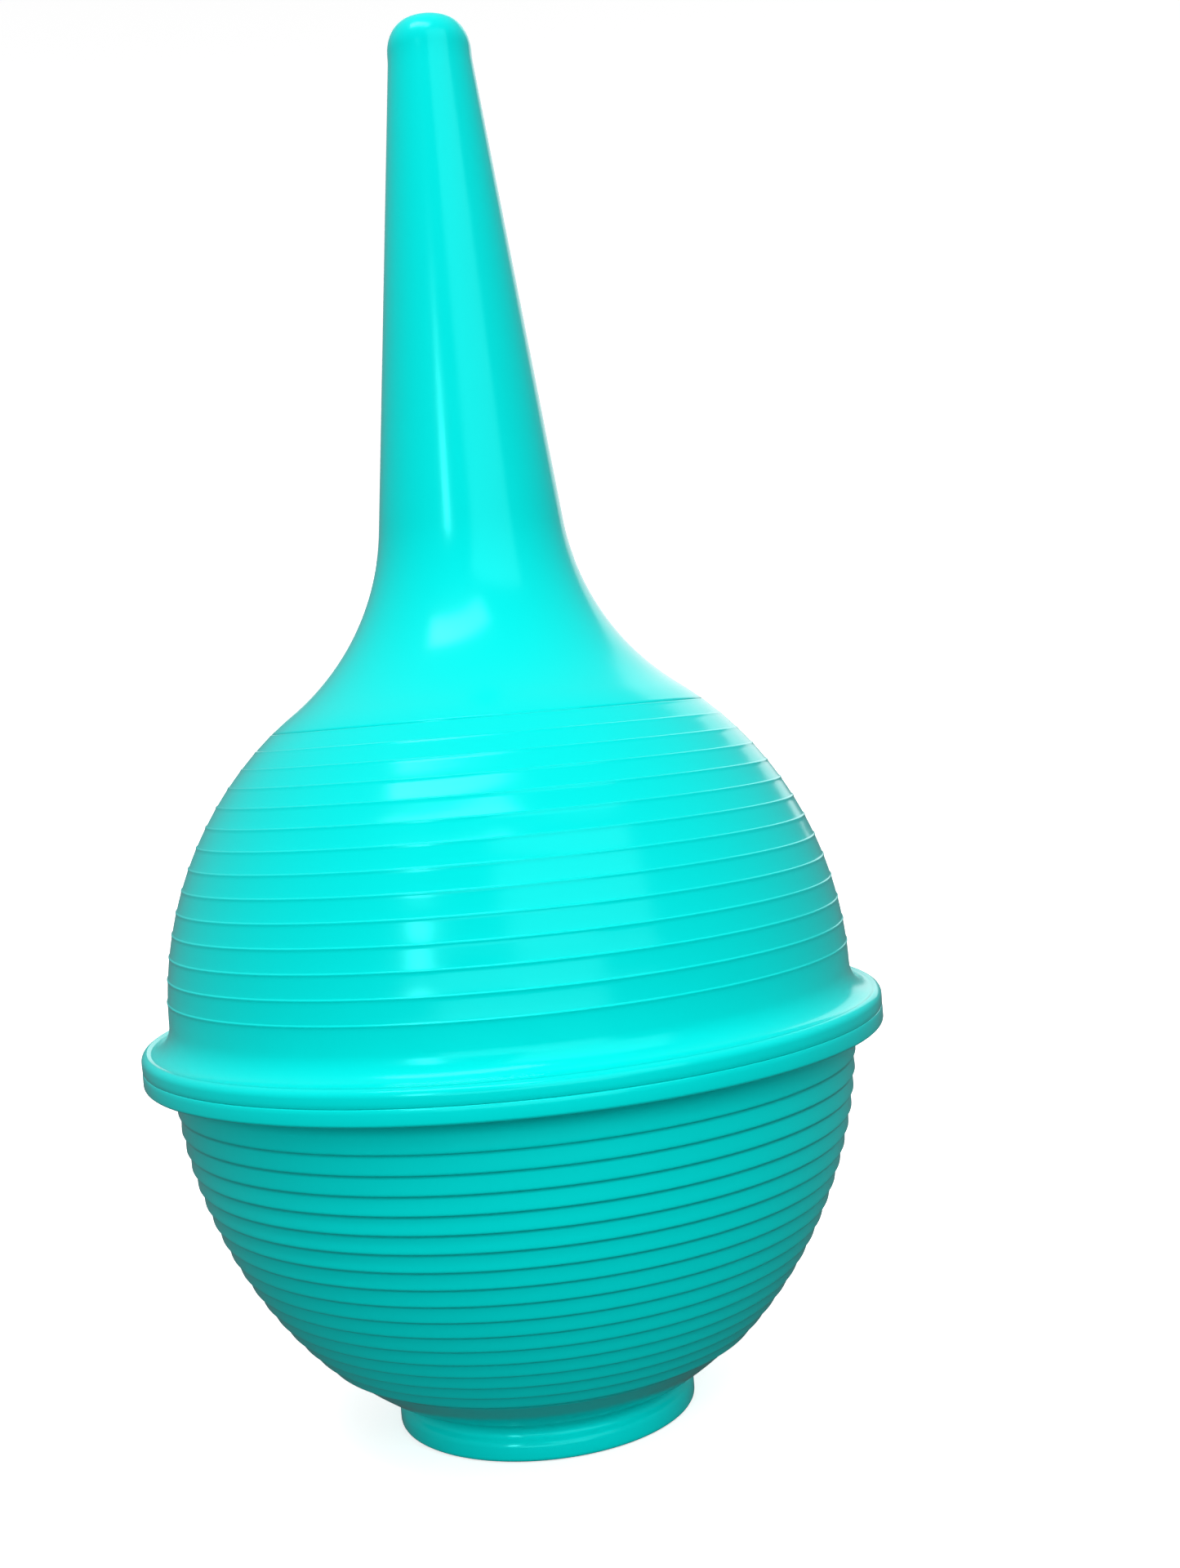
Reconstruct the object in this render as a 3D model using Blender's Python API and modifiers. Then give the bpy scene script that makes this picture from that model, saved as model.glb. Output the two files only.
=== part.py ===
"""Nasal aspirator: a soft squeeze bulb with one long hollow spout.

Metres, +Z up along the bulb's axis, origin at the centre of the foot's face.
Two elastomer mouldings meet at the flange round the bulb. The wall under the
thumb travels straight in along +Y, and the spout bends about its soft root.
"""
import math

import bmesh
import bpy

MM = 0.001

# ---------------------------------------------------------------- dimensions
TOTAL_HEIGHT = 158.0 * MM
WALL = 2.2 * MM                 # bulb wall
SPOUT_WALL = 2.1 * MM           # spout wall at its root
GAP = 0.3 * MM                  # between neighbouring pieces
SEGMENTS = 48

# the round body: a bowl and a dome, each half an ellipse, and a hollow fillet up to the spout
BULB_RADIUS = 38.5 * MM
BOWL_TOP_Z = 45.0 * MM
BOWL_HEIGHT = 46.1 * MM         # the bowl's half axis; the foot cuts it off
DOME_BASE_Z = 48.5 * MM
DOME_HEIGHT = 40.3 * MM         # the dome's half axis; the fillet cuts it off
SHOULDER_FILLET = 28.0 * MM     # tangent to the dome and to the spout

PARTING_Z = 44.2 * MM           # plane where the two mouldings meet
FLANGE_RADIUS = 41.8 * MM
FLANGE_TOP_Z = 45.9 * MM
FLANGE_BOTTOM_Z = 42.4 * MM
FLANGE_FILLET_Z = 48.8 * MM     # top of the fillet above the flange

FOOT_RADIUS = 17.0 * MM
FOOT_RIM_HEIGHT = 2.2 * MM
FOOT_NECK_RADIUS = 16.3 * MM
FOOT_RECESS_RADIUS = 12.0 * MM
FOOT_RECESS_DEPTH = 0.8 * MM
FLOOR_Z = 2.8 * MM              # inside of the bottom

SPOUT_ROOT_Z = 103.0 * MM
SPOUT_ROOT_RADIUS = 10.3 * MM
SPOUT_TAPER_END_Z = 153.6 * MM
SPOUT_TIP_RADIUS = 4.75 * MM
ORIFICE_RADIUS = 1.5 * MM
ORIFICE_LENGTH = 9.0 * MM

FLEX_CENTRE_Z = 94.0 * MM       # the spout's bending axis
FLEX_SPHERE = 14.3 * MM         # its ends turn on a ball of this radius

THUMB_X = 3.0 * MM              # middle of the wall that the thumb pushes in
THUMB_RADIUS = 15.0 * MM
THUMB_ROUND = 32


SPOUT_FALL = (SPOUT_TIP_RADIUS - SPOUT_ROOT_RADIUS) / (SPOUT_TAPER_END_Z - SPOUT_ROOT_Z)


def spout_radius(z):
    return SPOUT_ROOT_RADIUS + (z - SPOUT_ROOT_Z) * SPOUT_FALL


def shoulder():
    """The fillet's centre (r, z), and the heights where it touches the dome and the spout."""
    stretch = math.sqrt(1 + SPOUT_FALL ** 2)

    def centre(angle):
        nr, nz = math.cos(angle) / BULB_RADIUS, math.sin(angle) / DOME_HEIGHT
        k = SHOULDER_FILLET / math.hypot(nr, nz)
        touch = DOME_BASE_Z + DOME_HEIGHT * math.sin(angle)
        return BULB_RADIUS * math.cos(angle) + nr * k, touch + nz * k, touch

    low, high = 0.0, math.pi / 2
    for _ in range(60):
        middle = (low + high) / 2
        r, z, _touch = centre(middle)
        if (r - spout_radius(z)) / stretch > SHOULDER_FILLET:
            low = middle
        else:
            high = middle
    r, z, touch = centre(low)
    return r, z, touch, z + SHOULDER_FILLET * SPOUT_FALL / stretch


SHOULDER_R, SHOULDER_Z, SHOULDER_BOTTOM, SHOULDER_TOP = shoulder()


def smooth_radius(z):
    """Outer radius at height z, from the foot's neck to the spout's end."""
    if z >= SHOULDER_TOP:
        return spout_radius(z)
    if z >= SHOULDER_BOTTOM:
        return SHOULDER_R - math.sqrt(SHOULDER_FILLET ** 2 - (z - SHOULDER_Z) ** 2)
    if z >= DOME_BASE_Z:
        return BULB_RADIUS * math.sqrt(1 - ((z - DOME_BASE_Z) / DOME_HEIGHT) ** 2)
    if z >= BOWL_TOP_Z:
        return BULB_RADIUS
    return BULB_RADIUS * math.sqrt(1 - ((BOWL_TOP_Z - z) / BOWL_HEIGHT) ** 2)


def slope(z):
    return (smooth_radius(z + 0.2 * MM) - smooth_radius(z - 0.2 * MM)) / (0.4 * MM)


def outer_points(z_top, z_bottom, count):
    return [(smooth_radius(z), z) for z in
            (z_top + (z_bottom - z_top) * i / (count - 1) for i in range(count))]


def inner_points(z_top, z_bottom, count, wall):
    """The outer points moved in along the surface's normal, z_top first."""
    points = []
    for r, z in outer_points(z_top, z_bottom, count):
        s = slope(z)
        k = wall / math.sqrt(1 + s * s)
        points.append((r - k, z + s * k))
    return points


def turned(name, profile, collection, material, closed):
    """A profile in the XZ plane at +X, turned about Z by a Screw modifier."""
    mesh = bpy.data.meshes.new(name)
    bm = bmesh.new()
    verts = [bm.verts.new((r, 0.0, z)) for r, z in profile]
    for a, b in zip(verts, verts[1:]):
        bm.edges.new((a, b))
    if closed:
        bm.edges.new((verts[-1], verts[0]))
    bm.to_mesh(mesh)
    bm.free()
    obj = bpy.data.objects.new(name, mesh)
    collection.objects.link(obj)
    screw = obj.modifiers.new("Turn", "SCREW")
    screw.axis = "Z"
    screw.angle = 2 * math.pi
    screw.steps = screw.render_steps = SEGMENTS
    screw.use_merge_vertices = True
    screw.merge_threshold = 0.00005
    screw.use_smooth_shade = True
    mesh.materials.append(material)
    return obj


def add_boolean(obj, operation, cutter):
    mod = obj.modifiers.new("Thumb", "BOOLEAN")
    mod.operation = operation
    mod.object = cutter
    mod.solver = "EXACT"


def make_material(name, color, roughness):
    material = bpy.data.materials.new(name)
    material.use_nodes = True
    shader = material.node_tree.nodes["Principled BSDF"]
    shader.inputs["Base Color"].default_value = (*color, 1.0)
    shader.inputs["Roughness"].default_value = roughness
    shader.inputs["Metallic"].default_value = 0.0
    return material


def cylinder_along_y(name, radius, x, z, y0, y1, collection):
    mesh = bpy.data.meshes.new(name)
    bm = bmesh.new()
    bmesh.ops.create_cone(bm, cap_ends=True, cap_tris=False, segments=THUMB_ROUND,
                          radius1=radius, radius2=radius, depth=y1 - y0)
    bm.to_mesh(mesh)
    bm.free()
    obj = bpy.data.objects.new(name, mesh)
    obj.rotation_euler = (math.pi / 2, 0.0, 0.0)
    obj.location = (x, (y0 + y1) / 2, z)
    obj.hide_render = True
    obj.display_type = "WIRE"
    collection.objects.link(obj)
    return obj


# ------------------------------------------------------------------ profiles
def upper_profile():
    """Dome and shoulder: outer side down, lip, parting face, inner side up."""
    end_z = FLEX_CENTRE_Z + math.sqrt(FLEX_SPHERE ** 2 - smooth_radius(104 * MM) ** 2)
    outer = outer_points(end_z - GAP / 2, 86.0 * MM, 6)
    outer += outer_points(83.0 * MM, FLANGE_FILLET_Z, 11)
    r_wall = smooth_radius(FLANGE_FILLET_Z)
    fillet = []
    for i in range(1, 5):
        a = math.radians(90 * i / 5)
        fillet.append((FLANGE_RADIUS - 0.5 * MM - (FLANGE_RADIUS - 0.5 * MM - r_wall) * math.cos(a),
                       FLANGE_FILLET_Z - (FLANGE_FILLET_Z - FLANGE_TOP_Z) * math.sin(a)))
    lip = [(FLANGE_RADIUS - 0.5 * MM, FLANGE_TOP_Z), (FLANGE_RADIUS, FLANGE_TOP_Z - 0.6 * MM),
           (FLANGE_RADIUS, PARTING_Z + GAP / 2)]
    bottom_z = PARTING_Z + GAP / 2
    inner = [(smooth_radius(bottom_z) - WALL, bottom_z)]
    inner += inner_points(83.0 * MM, 52.0 * MM, 8, WALL)[::-1]
    inner += inner_points(101.0 * MM, 86.0 * MM, 4, WALL)[::-1]
    r_in = smooth_radius(104 * MM) - SPOUT_WALL
    inner.append((r_in, FLEX_CENTRE_Z + math.sqrt(FLEX_SPHERE ** 2 - r_in ** 2) - GAP / 2))
    return outer + fillet + lip + inner


def spout_profile():
    """Rounded lip, outer taper down, ball-shaped end, bore up."""
    tip = []
    lip = SPOUT_TIP_RADIUS - ORIFICE_RADIUS
    for i in range(7):
        a = math.radians(90 * i / 6)
        tip.append((ORIFICE_RADIUS + 0.5 * MM + (lip - 0.5 * MM) * math.sin(a),
                    TOTAL_HEIGHT - 3.6 * MM * (1 - math.cos(a))))
    outer = [(smooth_radius(z), z) for z in (153.6 * MM, 137.0 * MM, 120.0 * MM)]
    r_out = smooth_radius(104 * MM)
    end_out = FLEX_CENTRE_Z + math.sqrt(FLEX_SPHERE ** 2 - r_out ** 2) + GAP / 2
    outer.append((r_out, end_out))
    r_in = r_out - SPOUT_WALL
    end_in = FLEX_CENTRE_Z + math.sqrt(FLEX_SPHERE ** 2 - r_in ** 2) + GAP / 2
    bore_top = TOTAL_HEIGHT - ORIFICE_LENGTH
    bore = [(r_in, end_in), (smooth_radius(120 * MM) - 2.2 * MM, 120 * MM),
            (ORIFICE_RADIUS + 1.2 * MM, bore_top - 3.0 * MM), (ORIFICE_RADIUS, bore_top),
            (ORIFICE_RADIUS, TOTAL_HEIGHT - 0.5 * MM)]
    return tip + outer + bore


def lower_profile():
    """Inside from the axis out and up, parting face, lip, bowl, neck and foot."""
    top_z = PARTING_Z - GAP / 2
    inner = [(0.0, FLOOR_Z), (FOOT_NECK_RADIUS - 4.4 * MM, FLOOR_Z)]
    inner += inner_points(38.0 * MM, 6.5 * MM, 9, WALL)[::-1]
    inner.append((smooth_radius(top_z) - WALL, top_z))
    lip = [(FLANGE_RADIUS, top_z), (FLANGE_RADIUS, FLANGE_BOTTOM_Z + 0.5 * MM),
           (FLANGE_RADIUS - 0.5 * MM, FLANGE_BOTTOM_Z),
           (smooth_radius(41.4 * MM) + 0.3 * MM, FLANGE_BOTTOM_Z - 0.4 * MM)]
    outer = outer_points(41.0 * MM, 6.5 * MM, 12) + [(smooth_radius(4.6 * MM), 4.6 * MM)]
    foot = [(FOOT_NECK_RADIUS, 3.4 * MM), (FOOT_NECK_RADIUS, FOOT_RIM_HEIGHT + 0.4 * MM),
            (FOOT_RADIUS, FOOT_RIM_HEIGHT - 0.2 * MM), (FOOT_RADIUS, 0.6 * MM), (FOOT_RADIUS - 0.6 * MM, 0.0),
            (FOOT_RECESS_RADIUS + 0.5 * MM, 0.0), (FOOT_RECESS_RADIUS, FOOT_RECESS_DEPTH),
            (0.0, FOOT_RECESS_DEPTH)]
    return inner + lip + outer + foot


# --------------------------------------------------------------------- build
for old in list(bpy.data.objects):
    bpy.data.objects.remove(old, do_unlink=True)

parts = bpy.data.collections.new("nasal_aspirator")
cutters = bpy.data.collections.new("cutters")
bpy.context.scene.collection.children.link(parts)
bpy.context.scene.collection.children.link(cutters)

TEAL = (0.0, 0.62, 0.56)
materials = {name: make_material(name, color, rough) for name, color, rough in (
    ("upper_moulding", TEAL, 0.32), ("lower_moulding", (0.0, 0.6, 0.54), 0.32),
    ("spout_tube", (0.0, 0.66, 0.6), 0.3), ("thumb_upper", TEAL, 0.33), ("thumb_lower", TEAL, 0.34))}

window = cylinder_along_y("window_cutter", THUMB_RADIUS + GAP, THUMB_X, PARTING_Z,
                          -60 * MM, 0.0, cutters)
plug = cylinder_along_y("plug_cutter", THUMB_RADIUS, THUMB_X, PARTING_Z,
                        -60 * MM, 0.0, cutters)

upper = turned("upper_shell", upper_profile(), parts, materials["upper_moulding"], True)
lower = turned("lower_shell", lower_profile(), parts, materials["lower_moulding"], False)
add_boolean(upper, "DIFFERENCE", window)
add_boolean(lower, "DIFFERENCE", window)

thumb_upper = turned("thumb_wall_upper", upper_profile(), parts, materials["thumb_upper"], True)
thumb_lower = turned("thumb_wall_lower", lower_profile(), parts, materials["thumb_lower"], False)
add_boolean(thumb_upper, "INTERSECT", plug)
add_boolean(thumb_lower, "INTERSECT", plug)

# the spout's parent empty stands on its bending axis, the thumb wall's on its slide axis
spout = turned("spout", spout_profile(), parts, materials["spout_tube"], True)
flex = bpy.data.objects.new("spout_flex_axis", None)
flex.location = (0.0, 0.0, FLEX_CENTRE_Z)
parts.objects.link(flex)
spout.parent = flex
spout.location = (0.0, 0.0, -FLEX_CENTRE_Z)

press = bpy.data.objects.new("squeeze_axis", None)
press.location = (THUMB_X, 0.0, PARTING_Z)
parts.objects.link(press)
for wall in (thumb_upper, thumb_lower):
    wall.parent = press
    wall.location = (-THUMB_X, 0.0, -PARTING_Z)
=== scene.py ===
"""Looks of the nasal aspirator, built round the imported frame. Metres, +Z up."""
import math

import bpy
import numpy as np
from mathutils import Matrix, Vector


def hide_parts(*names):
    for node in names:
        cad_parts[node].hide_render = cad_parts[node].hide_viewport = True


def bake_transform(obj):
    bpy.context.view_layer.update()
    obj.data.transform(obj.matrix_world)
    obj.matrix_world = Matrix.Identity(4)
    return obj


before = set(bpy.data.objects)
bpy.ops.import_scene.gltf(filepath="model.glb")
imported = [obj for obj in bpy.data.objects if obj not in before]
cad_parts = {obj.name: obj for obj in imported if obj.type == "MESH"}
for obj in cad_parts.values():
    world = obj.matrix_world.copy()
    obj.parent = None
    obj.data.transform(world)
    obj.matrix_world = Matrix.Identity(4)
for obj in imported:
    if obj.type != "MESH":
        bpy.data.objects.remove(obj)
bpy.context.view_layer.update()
MM = 0.001

# ---------------------------------------------------------------- camera first
# The object's axis stands 5 degrees off upright in the picture, and the lens is
# close: the spout's tip is seen from below and the foot from above.
IMAGE_W, IMAGE_H = 1445.0, 1920.0
FOCAL_PX = 2200.0
DISTANCE = 0.2056               # from the bulb's axis
LEVEL_Z = 0.0795                # height at which the view is square to the axis
AXIS_PX = (597.7, 878.6)        # where the axis passes at that height
LEAN = math.radians(5.06)


def aim_camera():
    def ray(x, y):
        return Vector((x - IMAGE_W / 2, y - IMAGE_H / 2, FOCAL_PX)).normalized()
    forward = ray(*AXIS_PX)
    along = ray(AXIS_PX[0] + 900 * math.sin(LEAN), AXIS_PX[1] + 900 * math.cos(LEAN))
    side = along.cross(forward).normalized()       # camera frame: x right, y down, z ahead
    if side.x < 0:
        side.negate()
    down = forward.cross(side).normalized()
    if down.y < 0:
        down.negate()
    # rows of this matrix are the object's X, Y and Z axes seen from the camera
    to_object = Matrix((side, forward, -down))
    turn = to_object @ Matrix(((1, 0, 0), (0, -1, 0), (0, 0, -1)))
    data = bpy.data.cameras.new("camera")
    data.sensor_fit = "VERTICAL"
    data.sensor_height = 24.0
    data.sensor_width = 36.0
    data.lens = FOCAL_PX / IMAGE_H * data.sensor_height
    data.clip_start, data.clip_end = 0.01, 20.0
    camera = bpy.data.objects.new("camera", data)
    camera.matrix_world = Matrix.Translation((0.0, -DISTANCE, LEVEL_Z)) @ turn.to_4x4()
    bpy.context.scene.collection.objects.link(camera)
    bpy.context.scene.camera = camera
    return camera


camera = aim_camera()

# ---------------------------------------------------------------- round body
BULB_R, BOWL_TOP, BOWL_H, DOME_BASE, DOME_H, FILLET = 38.5, 45.0, 46.1, 48.5, 40.3, 28.0
ROOT_Z, ROOT_R, TAPER_Z, TIP_R = 103.0, 10.3, 153.6, 4.75
FLANGE_R, FLANGE_TOP, FLANGE_BOTTOM, FILLET_TOP = 41.8, 45.9, 42.4, 48.8
PARTING = 44.2
TOTAL = 158.0
WALL = 2.2
SEAM_Z = 79.6                    # where the first rib steps out under the smooth shoulder


def cubic(points, x, end_slope=None):
    """Monotone cubic through (x, y) points."""
    p = np.asarray(points, float)
    X, Y = p[:, 0], p[:, 1]
    h = np.diff(X)
    d = np.diff(Y) / h
    m = np.zeros(len(X))
    m[0] = d[0]
    m[-1] = d[-1] if end_slope is None else end_slope
    for i in range(1, len(X) - 1):
        if d[i - 1] * d[i] > 0:
            w1, w2 = 2 * h[i] + h[i - 1], h[i] + 2 * h[i - 1]
            m[i] = (w1 + w2) / (w1 / d[i - 1] + w2 / d[i])
    x = np.clip(np.asarray(x, float), X[0], X[-1])
    i = np.clip(np.searchsorted(X, x, side="right") - 1, 0, len(h) - 1)
    t = (x - X[i]) / h[i]
    return ((1 + 2 * t) * (1 - t) ** 2 * Y[i] + t * (1 - t) ** 2 * h[i] * m[i]
            + t * t * (3 - 2 * t) * Y[i + 1] + t * t * (t - 1) * h[i] * m[i + 1])


FALL = (TIP_R - ROOT_R) / (TAPER_Z - ROOT_Z)


def shoulder():
    """The hollow fillet that touches the dome and the spout: its centre and both heights."""
    stretch = math.sqrt(1 + FALL ** 2)

    def centre(angle):
        nr, nz = math.cos(angle) / BULB_R, math.sin(angle) / DOME_H
        k = FILLET / math.hypot(nr, nz)
        touch = DOME_BASE + DOME_H * math.sin(angle)
        return BULB_R * math.cos(angle) + nr * k, touch + nz * k, touch

    low, high = 0.0, math.pi / 2
    for _ in range(60):
        middle = (low + high) / 2
        r, z, _touch = centre(middle)
        if (r - ROOT_R - (z - ROOT_Z) * FALL) / stretch > FILLET:
            low = middle
        else:
            high = middle
    r, z, touch = centre(low)
    return r, z, touch, z + FILLET * FALL / stretch


HOLLOW_R, HOLLOW_Z, HOLLOW_LOW, HOLLOW_HIGH = shoulder()


def radius(z):
    z = np.asarray(z, float)
    bowl = BULB_R * np.sqrt(np.clip(1 - (np.clip(BOWL_TOP - z, 0, None) / BOWL_H) ** 2, 0, 1))
    dome = BULB_R * np.sqrt(np.clip(1 - (np.clip(z - DOME_BASE, 0, None) / DOME_H) ** 2, 0, 1))
    hollow = HOLLOW_R - np.sqrt(np.clip(FILLET ** 2 - (z - HOLLOW_Z) ** 2, 0, None))
    spout = ROOT_R + (z - ROOT_Z) * FALL
    return np.where(z >= HOLLOW_HIGH, spout, np.where(z >= HOLLOW_LOW, hollow, np.minimum(bowl, dome)))


def slope(z):
    return (radius(np.asarray(z) + 0.2) - radius(np.asarray(z) - 0.2)) / 0.4


def on_surface(z, out):
    """The profile's point at height z, moved out along its normal."""
    s = float(slope(z))
    k = out / math.sqrt(1 + s * s)
    return float(radius(z)) + k, z - s * k


def heights_by_length(z0, z1, lengths):
    """Heights at the given distances along the profile, from z0 towards z1."""
    z = np.linspace(z0, z1, 2000)
    r = radius(z)
    along = np.concatenate([[0], np.cumsum(np.hypot(np.diff(z), np.diff(r)))])
    return np.interp(lengths, along, z), along[-1]


# ------------------------------------------------------------------ rib bands
# Upper dome: each band starts with a fine ledge that faces up and then falls back
# to the round surface. Bowl: each band swells downwards to a lip that overhangs.
UPPER_BAND = [(-0.08, 0.00), (-0.02, 0.006), (0.02, 0.035), (0.06, 0.080), (0.11, 0.098), (0.17, 0.092),
              (0.25, 0.060), (0.36, 0.028), (0.60, 0.010), (1.50, 0.002)]
LOWER_BAND = [(0.00, 0.00), (0.35, 0.05), (0.95, 0.16), (1.45, 0.27), (1.72, 0.33),
              (1.86, 0.345), (1.97, 0.31), (2.05, 0.20), (2.11, 0.06)]


def upper_ribs(z0, z1, pitch):
    total = heights_by_length(z0, z1, [0.0])[1]
    count = max(1, round(total / pitch))
    step = total / count
    points = []
    for i in range(count):
        k = 0.35 + 0.65 * min(1.0, i / 4.0)      # the first ledges under the shoulder are faint
        for a, h in UPPER_BAND:
            if i == 0 and a < 0.05:
                continue
            a = a if a < 0.5 else a * step / 2.45
            points.append((i * step + a, h * k))
    lengths = [p[0] for p in points]
    zs = heights_by_length(z0, z1, lengths)[0]
    return [on_surface(float(z), h) for z, (_, h) in zip(zs, points)]


def lower_ribs(z0, z1, count):
    total = heights_by_length(z0, z1, [0.0])[1]
    step = total / count
    points = []
    for i in range(count):
        k = 0.75 + 0.25 * min(1.0, i / 3.0)
        for a, h in LOWER_BAND:
            points.append((i * step + (a if a < 1.0 else a - 2.12 + step), h * k))
    lengths = [p[0] for p in points]
    zs = heights_by_length(z0, z1, lengths)[0]
    return [on_surface(float(z), h) for z, (_, h) in zip(zs, points)]


def arc(cx, cz, r, a0, a1, n):
    return [(cx + r * math.cos(math.radians(a0 + (a1 - a0) * i / (n - 1))),
             cz + r * math.sin(math.radians(a0 + (a1 - a0) * i / (n - 1)))) for i in range(n)]


def spread(z0, z1, n, out=0.0):
    return [on_surface(float(z), out) for z in np.linspace(z0, z1, n)]


def flange_profile():
    """From the wall above the flange, out round the lip and back under it."""
    r_wall, top = on_surface(FILLET_TOP, 0.0)[0], FLANGE_TOP
    points = []
    edge = 0.9
    span = FLANGE_R - edge - r_wall
    rise = FILLET_TOP - top
    for i in range(0, 13):
        a = math.radians(90 * i / 12)
        points.append((r_wall + span * (1 - math.cos(a)), FILLET_TOP - rise * math.sin(a)))
    points += arc(FLANGE_R - edge, top - edge * 0.75, edge, 75, 0, 7)
    points = [(r, z) for r, z in points]
    points += [(FLANGE_R, PARTING + 0.5), (FLANGE_R - 0.02, PARTING + 0.12), (FLANGE_R - 0.07, PARTING),
               (FLANGE_R - 0.02, PARTING - 0.12), (FLANGE_R, PARTING - 0.5)]
    points += arc(FLANGE_R - 0.35, FLANGE_BOTTOM + 0.35, 0.35, 0, -80, 5)
    inner = on_surface(41.2, 0.0)[0]
    points += [(FLANGE_R - 1.4, FLANGE_BOTTOM - 0.05), (inner + 0.9, FLANGE_BOTTOM - 0.2),
               (inner + 0.35, FLANGE_BOTTOM - 0.45), (inner + 0.1, FLANGE_BOTTOM - 0.85)]
    return points


def foot_profile():
    """The smooth cone's end, the neck's fillet, the flared rim and the recessed face."""
    points = spread(8.4, 4.9, 5)
    points += [(17.6, 4.25), (16.75, 3.75), (16.35, 3.35), (16.2, 2.95), (16.25, 2.62)]
    points += [(16.45, 2.38), (16.72, 2.2), (16.9, 1.95), (17.0, 1.6), (17.0, 1.0)]
    points += arc(16.5, 0.5, 0.5, 0, -90, 5)
    points += [(15.5, 0.0), (13.6, 0.0), (12.6, 0.05), (12.2, 0.3), (12.0, 0.62), (11.7, 0.78), (11.2, 0.8),
               (8.0, 0.8), (4.0, 0.8), (0.0, 0.8)]
    return points


def lathe(name, profile, columns, weight=None, push=0.0):
    """Turns a profile (mm) about Z. A first or last point on the axis closes to a pole; a profile with
    neither closes on itself. weight is not used."""
    angle = np.arange(columns) * 2 * math.pi / columns
    rings, rows = [], []
    verts = []
    for r, z in profile:
        if r < 1e-9:
            rows.append([len(verts)])
            verts.append((0.0, 0.0, z))
        else:
            rows.append(list(range(len(verts), len(verts) + columns)))
            verts.extend(zip(r * np.cos(angle), r * np.sin(angle), [z] * columns))
    faces = []
    pairs = list(zip(rows, rows[1:]))
    if len(rows[0]) > 1 and len(rows[-1]) > 1:
        pairs.append((rows[-1], rows[0]))
    for a, b in pairs:
        if len(a) == 1 and len(b) == 1:
            continue
        for j in range(columns):
            k = (j + 1) % columns
            if len(a) == 1:
                faces.append((a[0], b[j], b[k]))
            elif len(b) == 1:
                faces.append((a[j], b[0], a[k]))
            else:
                faces.append((a[j], b[j], b[k], a[k]))
    mesh = bpy.data.meshes.new(name)
    mesh.from_pydata([tuple(c * MM for c in v) for v in verts], [], faces)
    mesh.validate()
    mesh.polygons.foreach_set("use_smooth", [True] * len(mesh.polygons))
    mesh.update()
    obj = bpy.data.objects.new(name, mesh)
    bpy.context.scene.collection.objects.link(obj)
    return obj


# -------------------------------------------------------------- squeezed shape
# The thumb's fold: a valley that the near wall is pushed back to, steep on its left and easy on
# its right, deepest on the line VALLEY_X, VALLEY_Y. Depths are in mm from the mid-plane, + away
# from the thumb. On the right it runs out to the round wall just in front of its widest point.
TRAVEL = 60.0
VALLEY_X = [(6, 10.0), (14, 9.0), (24, 8.0), (34, 7.5), (44, 8.0), (52, 10.0), (60, 14.5), (68, 21.0), (75, 26.0), (80, 29.0)]
VALLEY_Y = [(6, -16.0), (14, -2.0), (24, 11.0), (34, 18.0), (44, 20.0), (52, 16.0), (60, 5.0), (68, -10.0), (75, -20.0), (80, -26.0)]
STEEP = [(6, 1.6), (14, 2.6), (26, 4.2), (40, 5.0), (50, 4.4), (58, 3.0), (66, 2.0), (74, 1.2), (80, 0.8)]
BOTTOM = [(6, 5.0), (30, 5.0), (44, 5.0), (60, 6.0), (80, 8.0)]
SOFT = [(6, 8.0), (30, 11.0), (44, 12.0), (60, 14.0), (72, 15.0), (80, 15.0)]
WIDE = 10.0                      # half width of the easy side's round bottom


def valley(x, z):
    xv, yv = cubic(VALLEY_X, z), cubic(VALLEY_Y, z)
    left, tight = cubic(STEEP, z), cubic(BOTTOM, z)
    u = x - xv
    rim = np.maximum(radius(z), 12.0)
    reach = np.maximum(rim - xv, 4.0)
    right = np.clip(yv + 0.16 * rim, 0, None) / (np.sqrt(reach * reach + WIDE * WIDE) - WIDE)
    near = yv - left * (np.sqrt(u * u + tight * tight) - tight)
    easy = yv - right * (np.sqrt(u * u + WIDE * WIDE) - WIDE)
    return np.where(u < 0, near, easy)


def squeeze_share(x, y, z):
    """Share of the thumb's travel at each point. The near wall lies against the valley; a point off
    the plain wall, inside it or out on a rib or the flange, keeps that distance square to the fold."""
    x, y, z = (np.asarray(v, float) for v in (x, y, z))
    far = np.maximum(np.hypot(x, y), 1e-6)
    depth = (radius(z) - far) / np.sqrt(1 + slope(z) ** 2)
    e = 0.25
    lean = np.hypot(valley(x + e, z) - valley(x - e, z), valley(x, z + e) - valley(x, z - e)) / (2 * e)
    p, k = valley(x, z) + depth * np.sqrt(1 + lean * lean), cubic(SOFT, z)
    h = np.clip(k - np.abs(y - p), 0, None) / k
    pushed = np.maximum(y, p) + h ** 3 * k / 6
    fade = np.clip((z - 5.0) / 9.0, 0, 1) * np.clip((79.4 - z) / 9.0, 0, 1)
    fade = fade * fade * (3 - 2 * fade)
    return np.clip((pushed - y) / TRAVEL * fade, 0, 1) * (far > 12.5)


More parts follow.
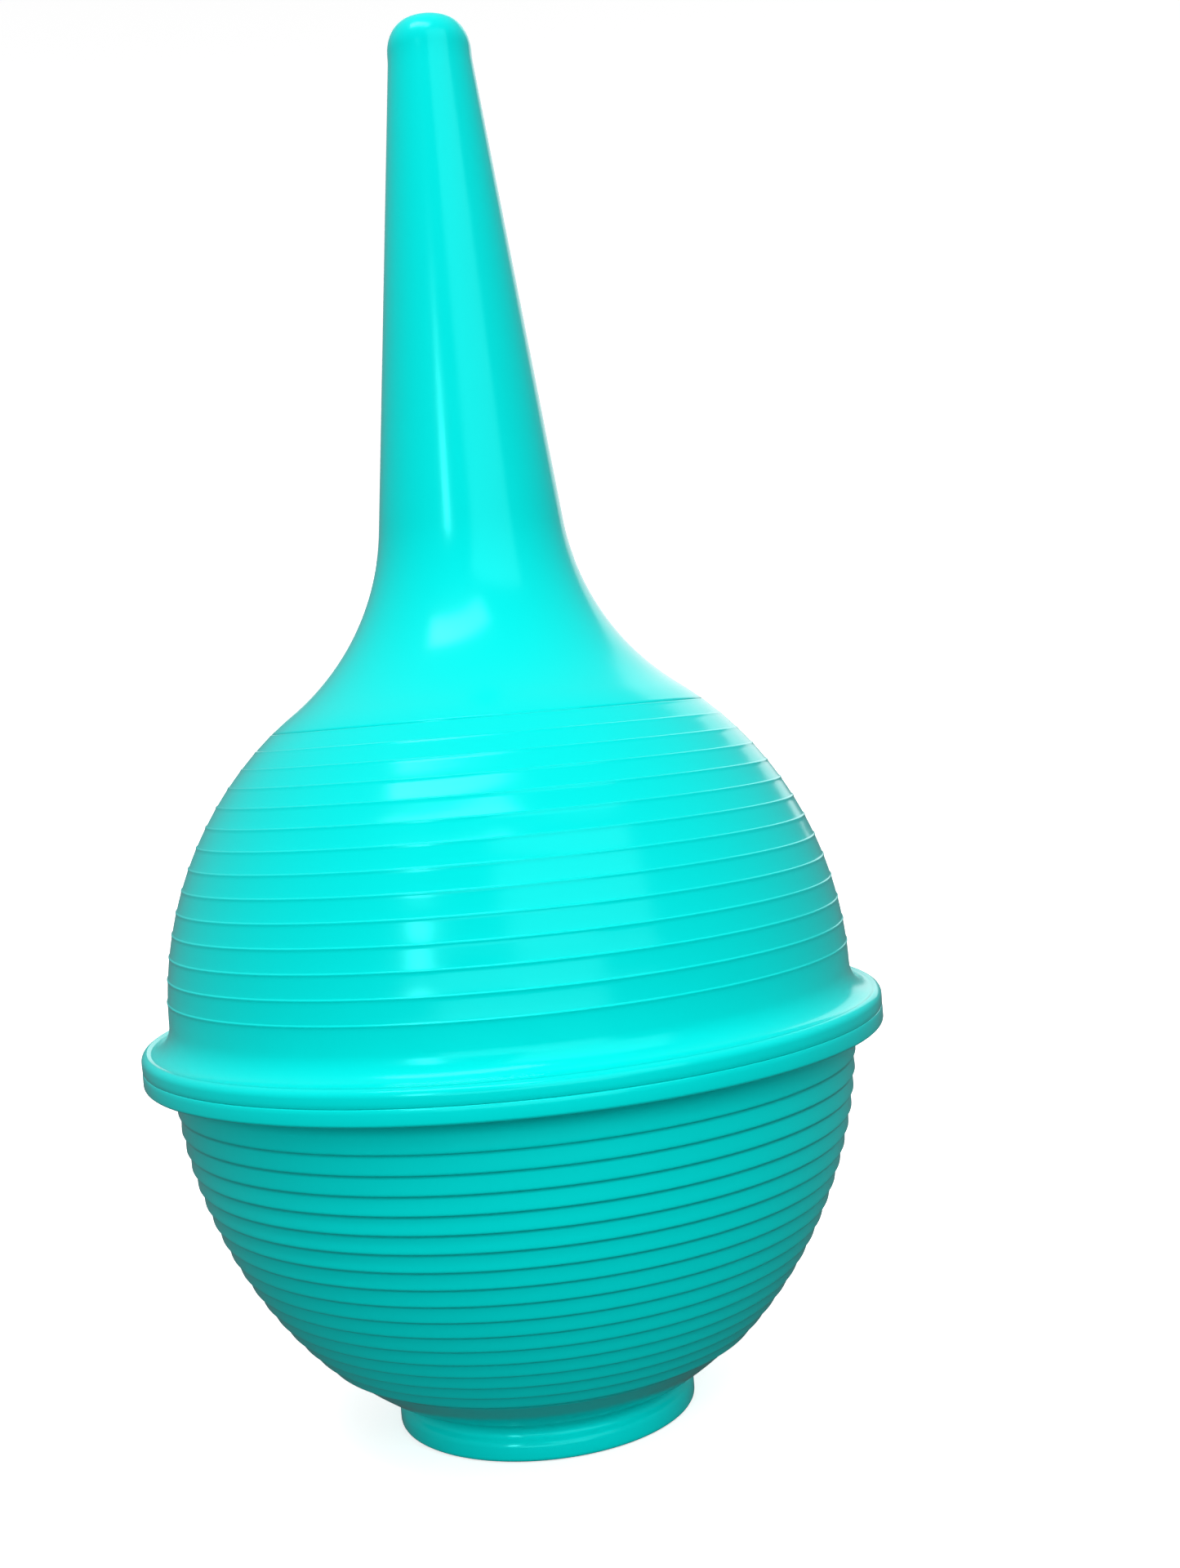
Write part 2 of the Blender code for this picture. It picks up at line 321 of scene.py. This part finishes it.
# ------------------------------------------------------------------- materials
def elastomer(name, base, dark, roughness, grain):
    """Moulded soft plastic: faint colour drift, satin gloss that varies, and a fine grain."""
    m = bpy.data.materials.new(name)
    m.use_nodes = True
    t = m.node_tree
    s = t.nodes["Principled BSDF"]
    s.inputs["IOR"].default_value = 1.48
    s.inputs["Specular IOR Level"].default_value = 0.42
    s.inputs["Specular Tint"].default_value = (0.12, 1.0, 1.0, 1.0)
    s.inputs["Coat Weight"].default_value = 0.0
    co = t.nodes.new("ShaderNodeTexCoord")
    drift = t.nodes.new("ShaderNodeTexNoise")
    drift.inputs["Scale"].default_value = 22.0
    drift.inputs["Detail"].default_value = 3.0
    t.links.new(co.outputs["Object"], drift.inputs["Vector"])
    ramp = t.nodes.new("ShaderNodeValToRGB")
    ramp.color_ramp.elements[0].position = 0.3
    ramp.color_ramp.elements[0].color = (*dark, 1)
    ramp.color_ramp.elements[1].position = 0.7
    ramp.color_ramp.elements[1].color = (*base, 1)
    t.links.new(drift.outputs["Fac"], ramp.inputs["Fac"])
    t.links.new(ramp.outputs["Color"], s.inputs["Base Color"])
    smear = t.nodes.new("ShaderNodeTexNoise")
    smear.inputs["Scale"].default_value = 95.0
    smear.inputs["Detail"].default_value = 2.0
    smear.inputs["Roughness"].default_value = 0.6
    t.links.new(co.outputs["Object"], smear.inputs["Vector"])
    span = t.nodes.new("ShaderNodeMapRange")
    span.inputs["From Min"].default_value = 0.3
    span.inputs["From Max"].default_value = 0.7
    span.inputs["To Min"].default_value = roughness - 0.02
    span.inputs["To Max"].default_value = roughness + 0.04
    t.links.new(smear.outputs["Fac"], span.inputs["Value"])
    t.links.new(span.outputs["Result"], s.inputs["Roughness"])
    fine = t.nodes.new("ShaderNodeTexNoise")
    fine.inputs["Scale"].default_value = 2600.0
    fine.inputs["Detail"].default_value = 2.0
    t.links.new(co.outputs["Object"], fine.inputs["Vector"])
    wave = t.nodes.new("ShaderNodeTexNoise")
    wave.inputs["Scale"].default_value = 140.0
    wave.inputs["Detail"].default_value = 2.0
    t.links.new(co.outputs["Object"], wave.inputs["Vector"])
    low = t.nodes.new("ShaderNodeBump")
    low.inputs["Strength"].default_value = 0.10
    low.inputs["Distance"].default_value = 0.0001
    t.links.new(wave.outputs["Fac"], low.inputs["Height"])
    bump = t.nodes.new("ShaderNodeBump")
    bump.inputs["Strength"].default_value = grain
    bump.inputs["Distance"].default_value = 0.00002
    t.links.new(fine.outputs["Fac"], bump.inputs["Height"])
    t.links.new(low.outputs["Normal"], bump.inputs["Normal"])
    t.links.new(bump.outputs["Normal"], s.inputs["Normal"])
    return m


BASE, DARK = (0.0, 0.76, 0.725), (0.0, 0.73, 0.695)
bulb_material = elastomer("bulb_elastomer", BASE, DARK, 0.16, 0.12)
spout_material = elastomer("spout_elastomer", (0.0, 0.76, 0.725), (0.0, 0.74, 0.705), 0.17, 0.10)

# ---------------------------------------------------------------- ribbed bulb
COLUMNS = 360


def parted_flange():
    """The flange's outline in two halves, each ending where the mouldings meet."""
    points = flange_profile()
    meet = min(range(len(points)), key=lambda i: abs(points[i][1] - PARTING))
    return points[:meet + 1], points[meet:]


def upper_moulding_profile():
    top_r, top_z = on_surface(SEAM_Z, 0.0)
    s = float(slope(SEAM_Z))
    n = math.sqrt(1 + s * s)
    points = [(top_r - WALL / n, SEAM_Z + s * WALL / n), (top_r, SEAM_Z)]
    points += upper_ribs(SEAM_Z, FILLET_TOP + 0.25, 2.42)
    points += parted_flange()[0]
    points += [(float(radius(PARTING)) - WALL, PARTING), (float(radius(47.0)) - WALL, 47.0)]
    return points + spread(50.0, 78.6, 22, -WALL)


def lower_moulding_profile():
    points = [(0.0, 2.8), (8.0, 2.8), (12.4, 2.8)] + spread(6.5, 38.0, 22, -WALL)
    points += [(float(radius(41.0)) - WALL, 41.0), (float(radius(PARTING)) - WALL, PARTING)]
    points += parted_flange()[1]
    return points + lower_ribs(41.0, 9.2, 17) + foot_profile()


upper = lathe("upper_moulding", upper_moulding_profile(), COLUMNS)
lower = lathe("lower_moulding", lower_moulding_profile(), COLUMNS)


def shoulder_profile():
    top_r, top_z = on_surface(SEAM_Z, 0.0)
    s = float(slope(SEAM_Z))
    n = math.sqrt(1 + s * s)
    end = [(top_r - WALL / n, SEAM_Z + s * WALL / n), (top_r, SEAM_Z)]
    lip = []
    orifice, tip = 1.5, 4.75
    for i in range(13):
        a = math.radians(90 * i / 12)
        lip.append((orifice + 0.55 + (tip - orifice - 0.55) * math.sin(a), TOTAL - 3.7 * (1 - math.cos(a))))
    taper = spread(153.4, 104.0, 34)
    shoulder = spread(103.0, SEAM_Z + 0.3, 46)
    bore = []
    for z in np.linspace(81.5, 101.0, 14):
        bore.append(on_surface(float(z), -WALL))
    bore += [(8.1, 105.8), (6.4, 118.0), (4.9, 132.0), (3.0, 145.5), (1.9, 149.6), (1.5, 150.6),
             (1.5, 155.0), (1.5, TOTAL - 0.75), (1.56, TOTAL - 0.45), (1.7, TOTAL - 0.2)]
    return lip + taper + shoulder + [end[1], end[0]] + bore


spout = lathe("spout_and_shoulder", shoulder_profile(), COLUMNS // 2)

for piece, material in ((upper, bulb_material), (lower, bulb_material), (spout, spout_material)):
    piece.data.materials.append(material)

for piece, slot, nodes in ((upper, "upper_moulding", ("upper_shell", "thumb_wall_upper")),
                           (lower, "lower_moulding", ("lower_shell", "thumb_wall_lower"))):
    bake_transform(piece)
    co = np.zeros(len(piece.data.vertices) * 3)
    piece.data.vertices.foreach_get("co", co)
    co = co.reshape(-1, 3) / MM
    share = squeeze_share(co[:, 0], co[:, 1], co[:, 2])
    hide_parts(*nodes)

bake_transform(spout)
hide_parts("spout")

# ------------------------------------------------------------ floor and light
def plain(name, color):
    m = bpy.data.materials.new(name)
    m.use_nodes = True
    s = m.node_tree.nodes["Principled BSDF"]
    s.inputs["Base Color"].default_value = (*color, 1)
    s.inputs["Roughness"].default_value = 0.9
    s.inputs["Specular IOR Level"].default_value = 0.1
    s.inputs["Emission Color"].default_value = (1, 1, 1, 1)
    s.inputs["Emission Strength"].default_value = 0.66
    return m


def open_sweep():
    columns = 96
    profile = [(0.0, 0.0), (0.2, 0.0), (0.5, 0.0)]
    profile += [(0.5 + 2.2 * math.sin(math.radians(a)), 2.2 - 2.2 * math.cos(math.radians(a)))
                for a in range(3, 91, 3)]
    verts, faces = [(0.0, 0.0, 0.0)], []
    for r, z in profile[1:]:
        for j in range(columns):
            a = 2 * math.pi * j / columns
            verts.append((r * math.cos(a), r * math.sin(a), z))
    for j in range(columns):
        faces.append((0, 1 + j, 1 + (j + 1) % columns))
    for i in range(len(profile) - 2):
        for j in range(columns):
            k = (j + 1) % columns
            a, b = 1 + i * columns, 1 + (i + 1) * columns
            faces.append((a + j, b + j, b + k, a + k))
    mesh = bpy.data.meshes.new("floor")
    mesh.from_pydata(verts, [], faces)
    mesh.polygons.foreach_set("use_smooth", [True] * len(mesh.polygons))
    obj = bpy.data.objects.new("floor", mesh)
    bpy.context.scene.collection.objects.link(obj)
    return obj


floor = open_sweep()
floor.location.z = -0.0002
floor.data.materials.append(plain("floor_white", (0.93, 0.93, 0.93)))
floor.visible_diffuse = False      # the studio's light comes from the sky and the panels
floor.visible_glossy = False


def area(name, position, target, size, power, color=(1, 1, 1)):
    data = bpy.data.lights.new(name, "AREA")
    data.shape = "RECTANGLE"
    data.size, data.size_y = size
    data.energy = power
    data.color = color
    obj = bpy.data.objects.new(name, data)
    obj.location = position
    obj.rotation_euler = (Vector(target) - Vector(position)).to_track_quat("-Z", "Y").to_euler()
    bpy.context.scene.collection.objects.link(obj)
    return obj


area("ceiling_strip", (-0.20, -0.34, 0.94), (-0.03, -0.05, 0.08), (0.62, 0.20), 4.3)
area("front_fill", (0.44, -0.92, 0.66), (0.0, 0.0, 0.09), (1.0, 0.8), 5.6)
area("back_fill", (0.25, 1.25, 0.62), (0.0, 0.0, 0.08), (1.2, 1.0), 4.0)
area("left_window", (-0.47, -0.85, 0.36), (-0.01, -0.03, 0.07), (0.11, 0.30), 1.9)
area("low_fill", (0.05, -1.1, 0.16), (0.0, 0.0, 0.04), (1.1, 0.3), 2.9)

world = bpy.data.worlds.new("studio")
world.use_nodes = True
sky = world.node_tree
where = sky.nodes.new("ShaderNodeTexCoord")
split = sky.nodes.new("ShaderNodeSeparateXYZ")
tone = sky.nodes.new("ShaderNodeValToRGB")
tone.color_ramp.elements[0].position = 0.25
tone.color_ramp.elements[0].color = (0.10, 0.10, 0.10, 1)
tone.color_ramp.elements[1].position = 0.95
tone.color_ramp.elements[1].color = (0.60, 0.60, 0.60, 1)
middle = tone.color_ramp.elements.new(0.52)
middle.color = (0.25, 0.25, 0.25, 1)
height = sky.nodes.new("ShaderNodeMapRange")
height.inputs["From Min"].default_value = -1.0
height.inputs["From Max"].default_value = 1.0
sky.links.new(where.outputs["Generated"], split.inputs["Vector"])
sky.links.new(split.outputs["Z"], height.inputs["Value"])
sky.links.new(height.outputs["Result"], tone.inputs["Fac"])
sky.links.new(tone.outputs["Color"], sky.nodes["Background"].inputs["Color"])
sky.nodes["Background"].inputs["Strength"].default_value = 0.80
bpy.context.scene.world = world
bpy.context.scene.view_settings.view_transform = "Standard"
